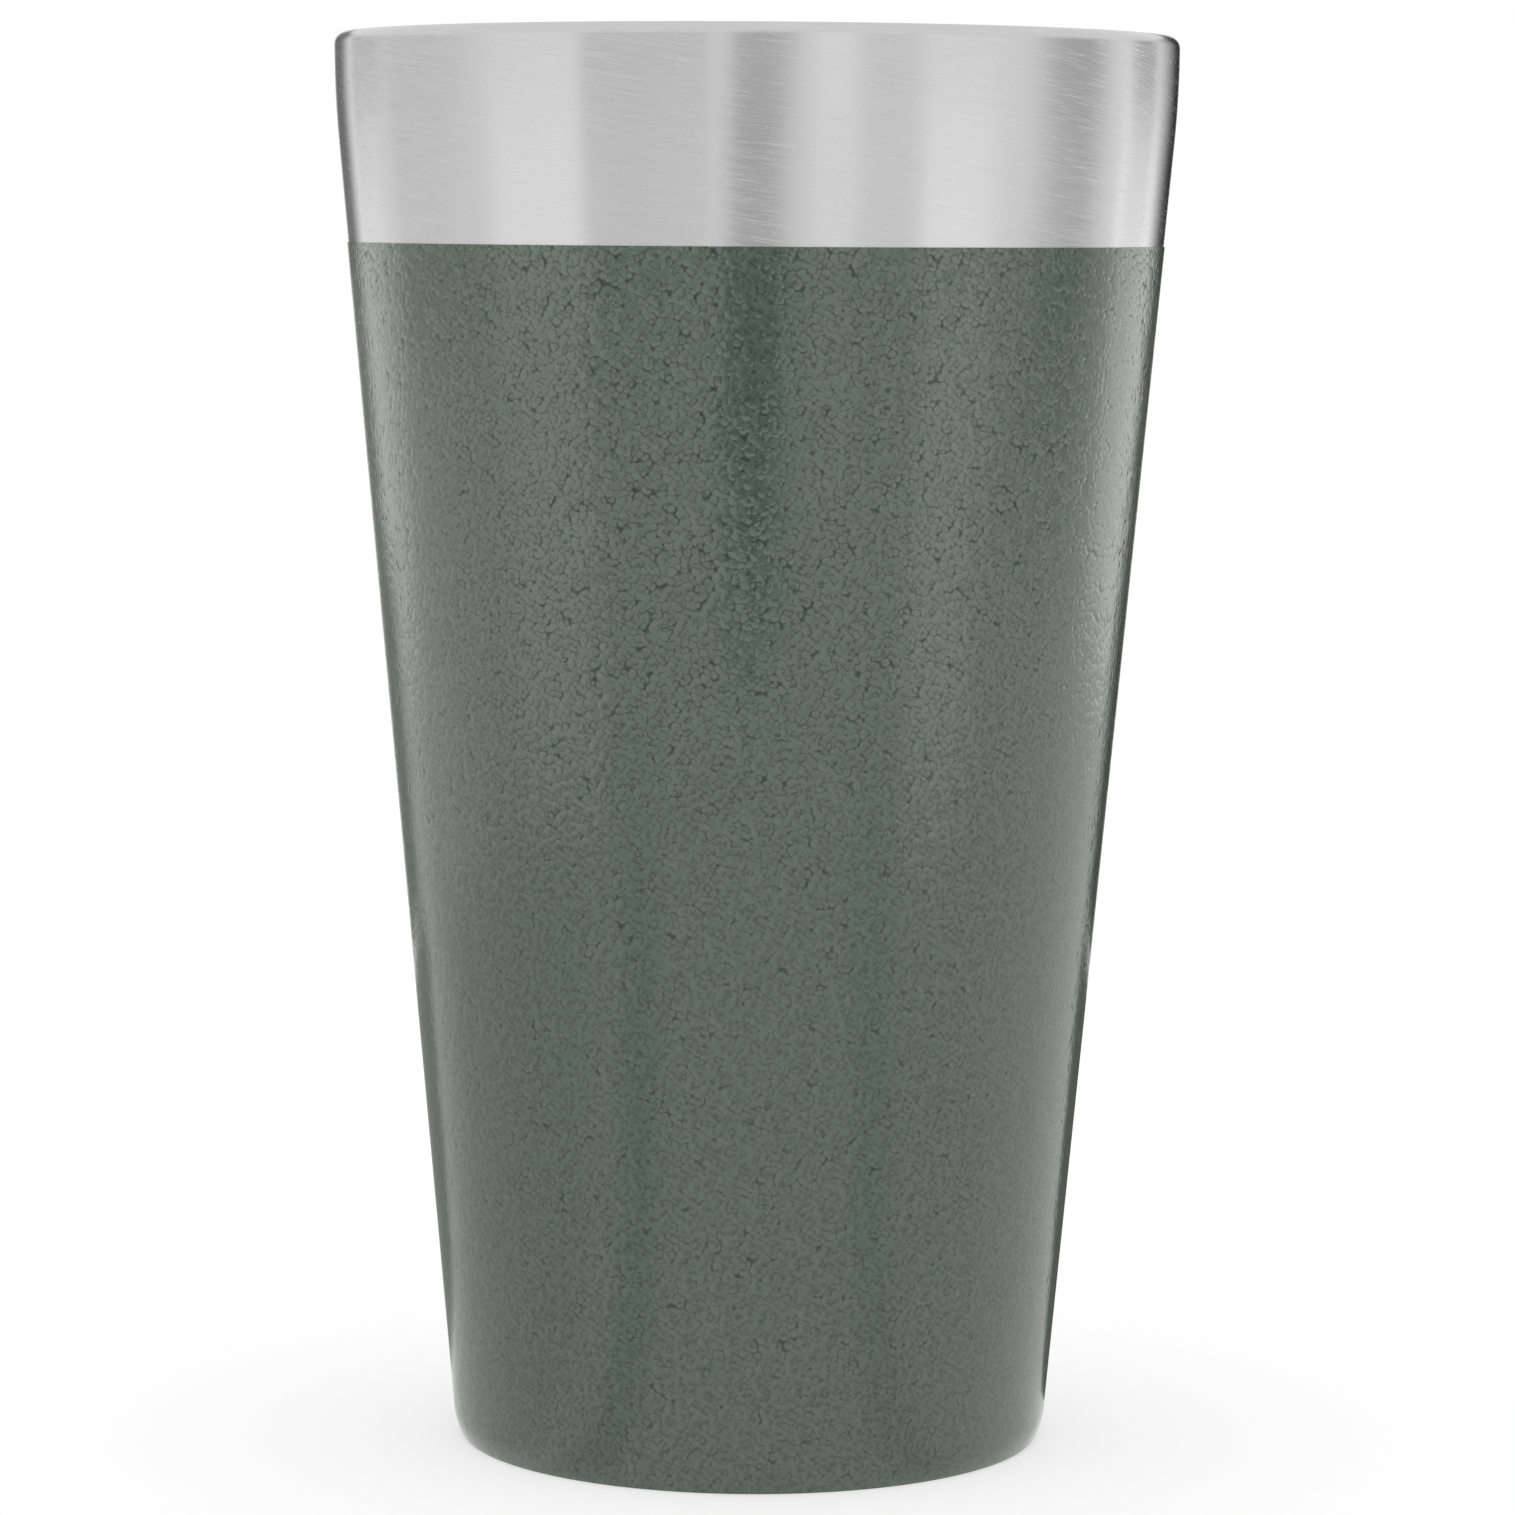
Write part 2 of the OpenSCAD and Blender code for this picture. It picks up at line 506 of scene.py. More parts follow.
@dataclass(frozen=True)
class BrushedSteel(Finish):
    """Stainless steel with fine lines from a brush or a turning tool, and scratches whose lighter colour is
    a painted glint.

    The size of a line is its length and width, in millimetres.
    """

    lay: Lay = Lay.RINGS
    light: Colour = (0.61, 0.61, 0.61, 1)
    dark: Colour = (0.57, 0.57, 0.57, 1)
    # Scratches are real marks, rougher than the sheet; their lighter colour is a painted glint for the
    # light they scatter.
    scratch_glint: Colour = (0.80, 0.80, 0.80, 1)
    roughness: tuple[float, float] = (0.21, 0.27)
    scratch_roughness: float = 0.55
    anisotropy: float = 0.95
    across_lines: float = 0.25
    grain_size: tuple[float, float] = (4.5, 0.08)
    grain_detail: float = 3.0
    grained: tuple[float, float] = (0.3, 0.7)
    scratch_size: tuple[float, float] = (5.0, 0.06)
    scratched: tuple[float, float] = (0.58, 0.68)
    slant: float = math.radians(8.5)
    slant_radius: float = 43.5
    back_from: tuple[float, float] = (math.radians(100), math.radians(140))
    depth: float = 0.0018 * MM

    def drawn(self, nodes: Nodes, place: Place, height: Socket, size: tuple[float, float]) -> Socket:
        """Noise that changes quickly with height and slowly round the axis.

        Args:
            nodes: the tree.
            place: where the point lies.
            height: what counts as the height.
            size: length and width of a line, in millimetres.

        Returns:
            The noise.
        """
        length, width = size
        x, y = (nodes.math("DIVIDE", way, length) for way in (place.x, place.y))
        across = nodes.math("DIVIDE", height, width)
        return nodes.noise(nodes.joined(x, y, across), detail=self.grain_detail)

    def lines(self, nodes: Nodes, place: Place, size: tuple[float, float]) -> Socket:
        """Noise drawn out along the brush lines.

        Args:
            nodes: the tree.
            place: where the point lies.
            size: length and width of a line, in millimetres.

        Returns:
            The noise.
        """
        if self.lay is Lay.RINGS:
            return self.drawn(nodes, place, nodes.math("ADD", place.z, place.reach()), size)
        rise = math.tan(self.slant) * self.slant_radius
        turns = place.turn_from_front(), place.turn_from_back()
        heights = [nodes.math("MULTIPLY_ADD", turn, rise, place.z) for turn in turns]
        near, far = (self.drawn(nodes, place, height, size) for height in heights)
        share = nodes.eased(nodes.math("ABSOLUTE", turns[0]), *self.back_from)
        return nodes.between(share, near, far)

    def dress(self, nodes: Nodes, place: Place) -> dict[str, Feed]:
        """Metal with its lines in colour, roughness and relief, and their gloss, and a painted glint on its
        scratches.

        Args:
            nodes: the tree.
            place: where the point lies.

        Returns:
            What goes into the shader's sockets.
        """
        grain = self.lines(nodes, place, self.grain_size)
        # Mask of the scratches, which sets their roughness and their painted glint.
        scratch_and_glint = nodes.eased(self.lines(nodes, place, self.scratch_size), *self.scratched)
        sheet = nodes.blend(nodes.eased(grain, *self.grained), self.dark, self.light)
        rough = nodes.eased(grain, *self.grained, *self.roughness)
        return {
            "Base Color": nodes.blend(scratch_and_glint, sheet, self.scratch_glint),
            "Roughness": nodes.level(scratch_and_glint, rough, self.scratch_roughness),
            "Normal": nodes.relief(grain, self.depth),
            "Tangent": nodes.add("ShaderNodeTangent", direction_type="RADIAL", axis="Z").outputs[0],
            "Metallic": 1.0,
            "Anisotropic": self.anisotropy,
            "Anisotropic Rotation": self.across_lines,
        }


@dataclass(frozen=True)
class Drop:
    """A drop of a coat at some point of the wall, as sockets of a node tree.

    Out is how far out from the drop's middle the point lies, 1 at its edge, and beyond is the same
    for the drop that this one lies over. Lean is the point's distance towards the drop's low side,
    in millimetres.
    """

    out: Socket
    chance: Socket
    lean: Socket
    beyond: Socket | None = None

    def over(self, nodes: Nodes, other: "Drop") -> "Drop":
        """The drop that lies on top, of this one and another.

        Args:
            nodes: the tree.
            other: the other drop.

        Returns:
            The drop on top.
        """
        below = nodes.math("GREATER_THAN", self.out, other.out)
        return Drop(
            out=nodes.math("MINIMUM", self.out, other.out),
            chance=nodes.between(below, self.chance, other.chance),
            lean=nodes.between(below, self.lean, other.lean),
            beyond=nodes.math("MAXIMUM", self.out, other.out),
        )


@dataclass(frozen=True)
class Drops:
    """Drops of about one size, strewn over the unrolled wall, in millimetres."""

    spacing: float
    radius: tuple[float, float]
    spread: float = 1.0

    def find(self, nodes: Nodes, at: Socket, rank: Rank) -> Drop:
        """Finds a drop.

        Args:
            nodes: the tree.
            at: the place on the unrolled wall.
            rank: which of the drops near that place.

        Returns:
            The drop.
        """
        inputs = {"Vector": at, "Scale": 1 / self.spacing, "Randomness": self.spread}
        cell = nodes.add(
            "ShaderNodeTexVoronoi", inputs, voronoi_dimensions="2D", feature=rank.value
        ).outputs
        chance = nodes.add("ShaderNodeSeparateColor", {"Color": cell["Color"]}).outputs
        radius = nodes.level(chance["Red"], *self.radius)
        away = nodes.math("MULTIPLY", cell["Distance"], self.spacing)
        low_side = nodes.vector("SUBTRACT", cell["Color"], MIDDLE)
        lean = nodes.dot(nodes.vector("SUBTRACT", at, cell["Position"]), low_side)
        return Drop(nodes.math("DIVIDE", away, radius), chance["Green"], lean)


@dataclass(frozen=True)
class Hammertone(Finish):
    """Satin coat that dried into small round drops, run together in places, with gaps between that hold
    painted shade, and with a painted highlight towards each drop's edge.

    Sizes are in millimetres, and places within a drop are shares of its radius. The pairs from edge to
    crease_dark hold a value for the foot, where the coat is soft, and one for the top, where it is
    crisp. The other pairs are the ends of a range.
    """

    drops: Drops = Drops(0.72, (0.285, 0.58))
    bead: Colour = (0.050, 0.089, 0.0535, 1)
    bead_pale: Colour = (0.071, 0.112, 0.0755, 1)
    # Painted highlight: the lighter colour towards each drop's edge stands in for the sheen off its sloping
    # edge.
    rim: Colour = (0.096, 0.143, 0.102, 1)
    # Painted shade: the dark colour of the gaps and creases stands in for the shade that falls into them.
    gap: Colour = (0.007, 0.023, 0.010, 1)
    ior: float = 1.75
    gloss: float = 0.5
    roughness: float = 0.14
    gap_roughness: float = 0.2
    gap_gloss: float = 0.33
    edge: tuple[float, float] = (1.32, 1.24)
    edge_reach: tuple[float, float] = (0.6, 0.45)
    crease_width: tuple[float, float] = (1.7, 1.0)
    # How strongly creases show, in their relief and in their painted shade.
    crease_faint: tuple[float, float] = (0.17, 0.08)
    crease_dark: tuple[float, float] = (0.68, 0.82)
    crease_side: tuple[float, float] = (-0.08, 0.1)
    soft_gap: float = 0.92
    soft_relief: float = 0.5
    turn: float = math.radians(31)
    rim_highlight_at: tuple[float, float] = (0.3, 0.75)
    rim_highlight_share: float = 0.4
    bow: float = 0.2
    bow_length: float = 1.1
    bow_detail: float = 1.0
    dome: float = 0.008
    lean: float = 0.04
    gap_depth: float = 0.004
    swell: float = 0.045
    swell_length: float = 5.0
    patch_length: float = 0.8
    patchy: tuple[float, float] = (0.34, 0.6)
    patch_share: float = 0.65
    soft_below: float = 45.0
    crisp_above: float = 100.0
    hidden_at: tuple[float, float] = (0.2, 0.6)

    def surface(self, nodes: Nodes, place: Place) -> Drop:
        """The drop on top at a point of the wall.

        Args:
            nodes: the tree.
            place: where the point lies.

        Returns:
            The drop.
        """
        inputs = {"Vector": place.at, "Scale": 1 / self.bow_length, "Detail": self.bow_detail}
        drift = nodes.add("ShaderNodeTexNoise", inputs).outputs["Color"]
        bowed = nodes.scaled(nodes.vector("SUBTRACT", drift, MIDDLE), 2 * self.bow)
        inputs = {"Vector": place.unrolled(), "Angle": self.turn}
        wall = nodes.add("ShaderNodeVectorRotate", inputs, rotation_type="Z_AXIS").outputs[0]
        at = nodes.vector("ADD", wall, bowed)
        nearest, second = (self.drops.find(nodes, at, rank) for rank in Rank)
        return nearest.over(nodes, second)

    def gaps(self, nodes: Nodes, place: Place, drop: Drop, crisp: Socket) -> Socket:
        """How deep in a gap or crease the point lies, from 0 to 1, which sets its relief and its painted
        shade.

        Args:
            nodes: the tree.
            place: where the point lies.
            drop: the drop on top.
            crisp: 0 where the coat is soft, near the foot, and 1 where it is crisp.

        Returns:
            The depth, less in some patches, and with softer edges towards the foot.
        """
        ends = self.crease_width, self.edge, self.edge_reach, self.crease_faint, self.crease_dark
        width, edge, reach, faint, dark = (nodes.level(crisp, *pair) for pair in ends)
        between = nodes.math("SUBTRACT", drop.beyond, drop.out)
        # The crease's painted shade is deepest on the low side of the drop on top and faint on its high
        # side.
        strength = nodes.eased(drop.lean, *self.crease_side, faint, dark)
        crease = nodes.math("MULTIPLY", nodes.eased(between, 0.0, width, 1.0, 0.0), strength)
        low, high = (nodes.math(way, edge, reach) for way in ("SUBTRACT", "ADD"))
        gap = nodes.math("MAXIMUM", nodes.eased(drop.out, low, high), crease)
        gap = nodes.math("MULTIPLY", gap, nodes.level(crisp, self.soft_gap, 1.0))
        cloud = nodes.noise(place.at, 1 / self.patch_length)
        return nodes.math("MULTIPLY", gap, nodes.eased(cloud, *self.patchy, self.patch_share, 1.0))

    def dress(self, nodes: Nodes, place: Place) -> dict[str, Feed]:
        """The drops with their painted edge highlight, the gaps between them with their painted shade, and
        their gloss, whole where drops hide the gaps.

        Args:
            nodes: the tree.
            place: where the point lies.

        Returns:
            What goes into the shader's sockets.
        """
        crisp = nodes.eased(place.z, self.soft_below, self.crisp_above)
        drop = self.surface(nodes, place)
        gap = self.gaps(nodes, place, drop, crisp)
        colour = nodes.blend(drop.chance, self.bead, self.bead_pale)
        # Painted highlight: each drop lightens towards its edge.
        colour = nodes.blend(nodes.eased(drop.out, *self.rim_highlight_at, 0.0, self.rim_highlight_share), colour, self.rim)
        slant = nodes.add("ShaderNodeLayerWeight").outputs["Facing"]
        dull = nodes.math("MULTIPLY", gap, nodes.eased(slant, *self.hidden_at, 1.0, 0.0))

        height = nodes.math("MULTIPLY", nodes.math("POWER", drop.out, 2.0), -self.dome)
        height = nodes.math("MULTIPLY_ADD", drop.lean, self.lean, height)
        height = nodes.math("MULTIPLY_ADD", gap, -self.gap_depth, height)
        height = nodes.math("MULTIPLY", height, nodes.level(crisp, self.soft_relief, 1.0))
        swell = nodes.relief(nodes.noise(place.at, 1 / self.swell_length), self.swell * MM)
        relief = nodes.add("ShaderNodeBump", {"Height": height, "Distance": MM, "Normal": swell})
        return {
            # Painted shade: gaps and creases blend to the dark gap colour.
            "Base Color": nodes.blend(gap, colour, self.gap),
            "Roughness": nodes.level(dull, self.roughness, self.gap_roughness),
            "Specular IOR Level": nodes.level(dull, self.gloss, self.gap_gloss),
            "IOR": self.ior,
            "Normal": relief.outputs[0],
        }


@dataclass(frozen=True)
class PressedSteel(Finish):
    """Plain sheet steel as it leaves the press, with a mottled skin."""

    light: Colour = (0.56, 0.57, 0.58, 1)
    dark: Colour = (0.44, 0.45, 0.47, 1)
    roughness: tuple[float, float] = (0.34, 0.50)
    cloud_scale: float = 0.35
    cloud_detail: float = 5.0
    clouded: tuple[float, float] = (0.35, 0.65)
    grain_scale: float = 6.0
    grain_detail: float = 3.0
    grained: tuple[float, float] = (0.3, 0.7)
    depth: float = 0.004 * MM

    def dress(self, nodes: Nodes, place: Place) -> dict[str, Feed]:
        """Metal with a cloudy skin and fine grain.

        Args:
            nodes: the tree.
            place: where the point lies.

        Returns:
            What goes into the shader's sockets.
        """
        cloud = nodes.noise(place.at, self.cloud_scale, self.cloud_detail)
        grain = nodes.noise(place.at, self.grain_scale, self.grain_detail)
        return {
            "Base Color": nodes.blend(nodes.eased(cloud, *self.clouded), self.dark, self.light),
            "Roughness": nodes.eased(grain, *self.grained, *self.roughness),
            "Normal": nodes.relief(grain, self.depth),
            "Metallic": 1.0,
        }


@dataclass(frozen=True)
class SolderGlass(Finish):
    """Dark opaque glass that was melted into a bead."""

    light: Colour = (0.11, 0.075, 0.055, 1)
    dark: Colour = (0.07, 0.045, 0.035, 1)
    roughness: tuple[float, float] = (0.14, 0.28)
    flow_scale: float = 1.6
    flow_detail: float = 3.0
    tinted: tuple[float, float] = (0.35, 0.65)
    dulled: tuple[float, float] = (0.3, 0.7)
    depth: float = 0.01 * MM
    ior: float = 1.7

    def dress(self, nodes: Nodes, place: Place) -> dict[str, Feed]:
        """A glossy brown with flow lines.

        Args:
            nodes: the tree.
            place: where the point lies.

        Returns:
            What goes into the shader's sockets.
        """
        flow = nodes.noise(place.at, self.flow_scale, self.flow_detail)
        return {
            "Base Color": nodes.blend(nodes.eased(flow, *self.tinted), self.dark, self.light),
            "Roughness": nodes.eased(flow, *self.dulled, *self.roughness),
            "Normal": nodes.relief(flow, self.depth),
            "IOR": self.ior,
        }


@dataclass(frozen=True)
class SinteredMetal(Finish):
    """Pressed and sintered metal powder."""

    light: Colour = (0.15, 0.15, 0.16, 1)
    dark: Colour = (0.06, 0.06, 0.065, 1)
    roughness: tuple[float, float] = (0.75, 1.0)
    metallic: float = 0.5
    grain_scale: float = 7.0
    pored: tuple[float, float] = (0.2, 0.7)
    depth: float = 0.03 * MM

    def dress(self, nodes: Nodes, place: Place) -> dict[str, Feed]:
        """A matt speckled grey with open pores.

        Args:
            nodes: the tree.
            place: where the point lies.

        Returns:
            What goes into the shader's sockets.
        """
        inputs = {"Vector": place.at, "Scale": self.grain_scale}
        grains = nodes.add("ShaderNodeTexVoronoi", inputs).outputs["Distance"]
        return {
            "Base Color": nodes.blend(nodes.eased(grains, *self.pored), self.light, self.dark),
            "Roughness": nodes.eased(grains, *self.pored, *self.roughness),
            "Normal": nodes.relief(grains, self.depth, invert=True),
            "Metallic": self.metallic,
        }


# The cup


@dataclass(frozen=True)
class CupForm:
    """Driving sizes of the cup, shared by its sub-assemblies."""

    height: float
    rim_r: float
    lip_z: float
    coat_top: float
    base_r: float = 31.55 * MM
    sheet: float = 0.45 * MM
    wall: float = 4.3 * MM
    rim_bend: float = 110 * MM

    @classmethod
    def from_frame(cls) -> "CupForm":
        """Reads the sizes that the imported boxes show.

        Returns:
            The cup's form.
        """
        shell, coat, liner = (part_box(p.value)[1] for p in (Part.SHELL, Part.COAT, Part.LINER_WALL))
        return cls(height=liner.z, rim_r=shell.x, lip_z=shell.z, coat_top=coat.z)

    @property
    def lip_r(self) -> float:
        """Radius of the rolled lip."""
        return self.height - self.lip_z

    @property
    def taper(self) -> float:
        """Lean of the straight walls, tangent to the rim bend."""
        to_bend = Vector((self.rim_r - self.rim_bend - self.base_r, self.lip_z))
        return math.atan2(to_bend.x, to_bend.y) + math.asin(self.rim_bend / to_bend.length)

    def outer_r(self, z: float) -> float:
        """Outside of the shell along the straight taper."""
        return self.base_r + z * math.tan(self.taper)

    def inner_r(self, z: float) -> float:
        """Drinking side of the liner along the straight taper."""
        return self.outer_r(z) - self.wall


def fit_piece(piece: bpy.types.Object, finish: Finish, *stands_for: Part) -> None:
    """Dresses a new piece and puts it in the frame.

    Args:
        piece: the piece, in place.
        finish: what it is finished with.
        stands_for: the CAD nodes that it replaces.
    """
    piece.data.materials.append(finish.material())
    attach(piece, BODY)
    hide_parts(*(part.value for part in stands_for))
    log.info("%s: %d faces, %s", piece.name, len(piece.data.polygons), finish.name)


@dataclass(frozen=True)
class Foot:
    """Drawn-in foot of the shell and the standing ring under it."""

    form: CupForm
    bend_z: float = 1.75 * MM
    bend_r: float = 8 * MM
    draw_in: float = math.radians(18)
    edge_r: float = 0.6 * MM
    seam_gap: float = 0.1 * MM
    ring_w: float = 3.4 * MM
    recess: float = 2.4 * MM
    ring_bend: float = 1.0 * MM
    panel_bend: float = 1.4 * MM
    ring_lean: float = math.radians(65)
    coat_end: float = math.radians(52)
    anisotropy: float = 0.7

    @property
    def lean(self) -> float:
        """Lean of the drawn-in edge."""
        return self.form.taper + self.draw_in

    @property
    def bend(self) -> Corner:
        """Corner at which the shell is drawn in."""
        return Corner(self.form.outer_r(self.bend_z), self.bend_z, self.bend_r)

    @property
    def corner_r(self) -> float:
        """Where the drawn-in edge would meet the table."""
        return self.bend.r - self.bend_z * math.tan(self.lean)

    @property
    def edge_centre(self) -> Vector:
        """Centre of the rounding of the edge."""
        inset = self.edge_r * math.tan((math.pi / 2 - self.lean) / 2)
        return Vector((self.corner_r - inset, self.edge_r))

    @property
    def seam(self) -> Corner:
        """Seam between the shell and the base cover."""
        z = self.edge_r * (1 - math.sin(self.lean)) + self.seam_gap
        return Corner(self.corner_r + z * math.tan(self.lean), z)

    def on_edge(self, lean: float, reach: float, bend: float = 0.0) -> Corner:
        """A corner beside the rounding, at a lean and a distance from its centre."""
        at = self.edge_centre + Vector((math.cos(lean), -math.sin(lean))) * reach
        return Corner(at.x, at.y, bend)

    def edge_bend(self, start: float, end: float) -> Corner:
        """Corner that bends the rounding from one lean to another."""
        return self.on_edge((start + end) / 2, self.edge_r / math.cos((end - start) / 2), self.edge_r)

    def cover_path(self) -> SheetPath:
        """Underside of the base cover, from the axis out to the seam.

        Returns:
            The path of its lower face.
        """
        ring_inner = self.corner_r - self.ring_w
        panel_edge = ring_inner - self.recess / math.tan(self.ring_lean)
        return SheetPath((
            Corner(0, self.recess),
            Corner(panel_edge, self.recess, self.panel_bend),
            Corner(ring_inner, 0, self.ring_bend),
            self.edge_bend(self.coat_end, math.pi / 2),
            self.edge_bend(self.lean, self.coat_end),
            self.seam,
        ))

    def build(self) -> None:
        """Makes the base cover."""
        turned_steel = BrushedSteel(Slot.FOOT, "turned base steel", anisotropy=self.anisotropy)
        cover = SpunSheet(self.cover_path(), self.form.sheet).build("base_cover_turned")
        fit_piece(cover, turned_steel, Part.BASE_COVER)


@dataclass(frozen=True)
class OuterWall:
    """Tapered shell with its bare band, and the coat below the band."""

    form: CupForm
    foot: Foot
    film: float = 0.12 * MM

    def shell_path(self) -> SheetPath:
        """Outside of the shell, from its lower seam to the lip.

        Returns:
            The path of its outer face.
        """
        form = self.form
        bend_z = (form.rim_r - form.base_r) / math.tan(form.taper)
        return SheetPath((
            self.foot.seam,
            self.foot.bend,
            Corner(form.rim_r, bend_z, form.rim_bend),
            Corner(form.rim_r, form.lip_z),
        ))

    def coat_path(self) -> SheetPath:
        """Inside of the coat, from the bare band down round the foot.

        Returns:
            The path of the face that lies on the shell.
        """
        foot, top = self.foot, self.form.coat_top
        return SheetPath((
            Corner(self.form.outer_r(top), top),
            foot.bend,
            foot.edge_bend(foot.lean, foot.coat_end),
            foot.on_edge(foot.coat_end, foot.edge_r),
        ))

    def build(self) -> None:
        """Makes the shell and its coat."""
        shell = SpunSheet(self.shell_path(), self.form.sheet).build("shell_brushed")
        fit_piece(shell, BrushedSteel(Slot.BAND, "brushed band steel", lay=Lay.HELIX), Part.SHELL)
        coat = SpunSheet(self.coat_path(), self.film).build("coat_hammertone")
        fit_piece(coat, Hammertone(Slot.COAT, "hammertone coat"), Part.COAT)


@dataclass(frozen=True)
class Liner:
    """Drinking side: rolled lip, flared mouth, tapered wall and floor pan."""

    form: CupForm
    floor_z: float
    flare: float = 14 * MM
    flare_bend: float = 40 * MM
    corner: float = 6 * MM
    seam: float = 8 * MM
    # The scratches' lighter colour is a dim painted glint.
    scratch_glint: Colour = (0.66, 0.66, 0.66, 1)
    scratch_roughness: float = 0.3

    @classmethod
    def from_frame(cls, form: CupForm) -> "Liner":
        """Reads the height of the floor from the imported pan.

        Args:
            form: the cup's form.

        Returns:
            The liner.
        """
        return cls(form, floor_z=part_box(Part.LINER_FLOOR.value)[0].z + form.sheet)

    def seam_corner(self) -> Corner:
        """Seam between the wall and the floor pan."""
        z = self.floor_z + self.seam
        return Corner(self.form.inner_r(z), z)

    def wall_path(self) -> SheetPath:
        """Drinking side of the wall, from the rim over the lip and down to the seam.

        Returns:
            The path of its visible face.
        """
        form, lip = self.form, self.form.lip_r
        flare_z = form.height - self.flare
        flare_r = form.inner_r(flare_z)
        lean = math.atan2(form.rim_r - 2 * lip - flare_r, self.flare - lip)
        lip_inner = form.rim_r - lip - lip * math.tan((math.pi / 2 - lean) / 2)
        return SheetPath((
            Corner(form.rim_r, form.lip_z),
            Corner(form.rim_r, form.height, lip),
            Corner(lip_inner, form.height, lip),
            Corner(flare_r, flare_z, self.flare_bend),
            self.seam_corner(),
        ))

    def floor_path(self) -> SheetPath:
        """Drinking side of the floor pan, from the seam to the axis.

        Returns:
            The path of its visible face.
        """
        return SheetPath((
            self.seam_corner(),
            Corner(self.form.inner_r(self.floor_z), self.floor_z, self.corner),
            Corner(0, self.floor_z),
        ))

    def satin(self, name: str) -> BrushedSteel:
        """Finish with fine level turning lines and faint scratches, whose lighter colour is a dim painted
        glint.
        """
        return BrushedSteel(
            Slot.LINER, name, scratch_glint=self.scratch_glint, scratch_roughness=self.scratch_roughness
        )

    def build(self) -> None:
        """Makes the wall with its lip, and the floor pan."""
        wall = SpunSheet(self.wall_path(), self.form.sheet).build("liner_wall_satin")
        fit_piece(wall, self.satin("satin liner steel"), Part.LINER_WALL)
        pan = SpunSheet(self.floor_path(), self.form.sheet).build("liner_floor_turned")
        fit_piece(pan, self.satin("turned floor steel"), Part.LINER_FLOOR)


@dataclass(frozen=True)
class VacuumFittings:
    """Hidden fittings between the walls, which keep their CAD shapes."""

    steel: PressedSteel = PressedSteel(Slot.PRESSED, "pressed steel")
    glass: SolderGlass = SolderGlass(Slot.BEAD, "solder glass")
    powder: SinteredMetal = SinteredMetal(Slot.PILL, "sintered getter metal")

    def build(self) -> None:
        """Dresses the CAD nodes."""
        steel = self.steel.material()
        worn = {
            Part.VACUUM_BASE: steel,
            Part.CLIP: steel,
            Part.BEAD: self.glass.material(),
            Part.GETTER: self.powder.material(),
        }
        for part, material in worn.items():
            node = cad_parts[part.value]
            for slot in node.material_slots:
                slot.material = material
            log.info("%s: %s", part.value, material.name)


# The studio


@dataclass(frozen=True)
class Screen(ABC):
    """A card, soft box, flag or shade beside the cup, which shows only in the cup's reflections.

    Angles are in degrees round the cup from the front, positive to the right. A level of 1 is the
    white of the surround, and around is the level into which the screen's ends fade.
    """

    name: str
    start: float
    end: float
    level: float
    fade_in: float = 2.0
    fade_out: float = 2.0
    around: float = 1.0
    step: float = 0.5

    def away(self, angle: float) -> Vector:
        """Level direction from the cup's axis at an angle."""
        return Vector((math.sin(math.radians(angle)), -math.cos(math.radians(angle)), 0))

    @abstractmethod
    def edge(self, angle: float) -> list[tuple[Vector, float]]:
        """The screen's points at an angle, and how much of its level each shows."""

    def cover(self, angle: float) -> float:
        """How much of the screen's level shows at an angle, from 0 at its ends to 1."""
        rising, falling = (angle - self.start) / self.fade_in, (self.end - angle) / self.fade_out
        return max(0.0, min(1.0, rising, falling))

    def material(self) -> bpy.types.Material:
        """A plain glow at the screen's level, which fades at its ends.

        Returns:
            The screen's material.
        """
        made, nodes = blank_material(self.name)
        made.cycles.emission_sampling = "NONE"
        cover = nodes.add("ShaderNodeAttribute", attribute_name="cover").outputs["Fac"]
        glow = nodes.add("ShaderNodeEmission", {"Strength": nodes.level(cover, self.around, self.level)})
        nodes.add("ShaderNodeOutputMaterial", {"Surface": glow.outputs[0]})
        return made

    def build(self) -> None:
        """Makes the screen as a strip."""
        steps = math.ceil((self.end - self.start) / self.step)
        angles = [self.start + (self.end - self.start) * k / steps for k in range(steps + 1)]
        made = bmesh.new()
        cover = made.verts.layers.float.new("cover")
        edges = []
        for angle in angles:
            edge = []
            for point, share in self.edge(angle):
                vert = made.verts.new(point)
                vert[cover] = self.cover(angle) * share
                edge.append(vert)
            edges.append(edge)
        for here, after in pairwise(edges):
            for (a, b), (c, d) in zip(pairwise(here), pairwise(after)):
                made.faces.new((a, c, d, b))
        screen = set_out(made, self.name)
        screen.data.materials.append(self.material())
        screen.visible_camera = False
        screen.visible_diffuse = False
        screen.visible_shadow = False


@dataclass(frozen=True)
class Card(Screen):
    """A screen that stands round the cup at an even distance."""

    distance: float = 1.0
    low: float = -0.5
    high: float = 0.33

    def edge(self, angle: float) -> list[tuple[Vector, float]]:
        """The points of the card's lower and upper edge at an angle, both at its full level."""
        foot = self.away(angle) * self.distance
        return [(foot + Vector((0, 0, z)), 1.0) for z in (self.low, self.high)]


@dataclass(frozen=True)
class FloorCard(Screen):
    """A screen that lies on the table and spreads like a fan from a point near the cup's foot."""

    apex_x: float = 0.0
    near: float = 0.03
    near_full: float = 0.035
    far_full: float = 0.18
    far: float = 0.4
    lift: float = 0.2 * MM

    def edge(self, angle: float) -> list[tuple[Vector, float]]:
        """The card's points at an angle, which fades towards the cup and away from it.

        Args:
            angle: the angle, in degrees.

        Returns:
            The points from near to far, and how much of the card's level each shows.
        """
        apex = Vector((self.apex_x, 0, self.lift))
        stops = ((self.near, 0.0), (self.near_full, 1.0), (self.far_full, 1.0), (self.far, 0.0))
        return [(apex + self.away(angle) * reach, share) for reach, share in stops]


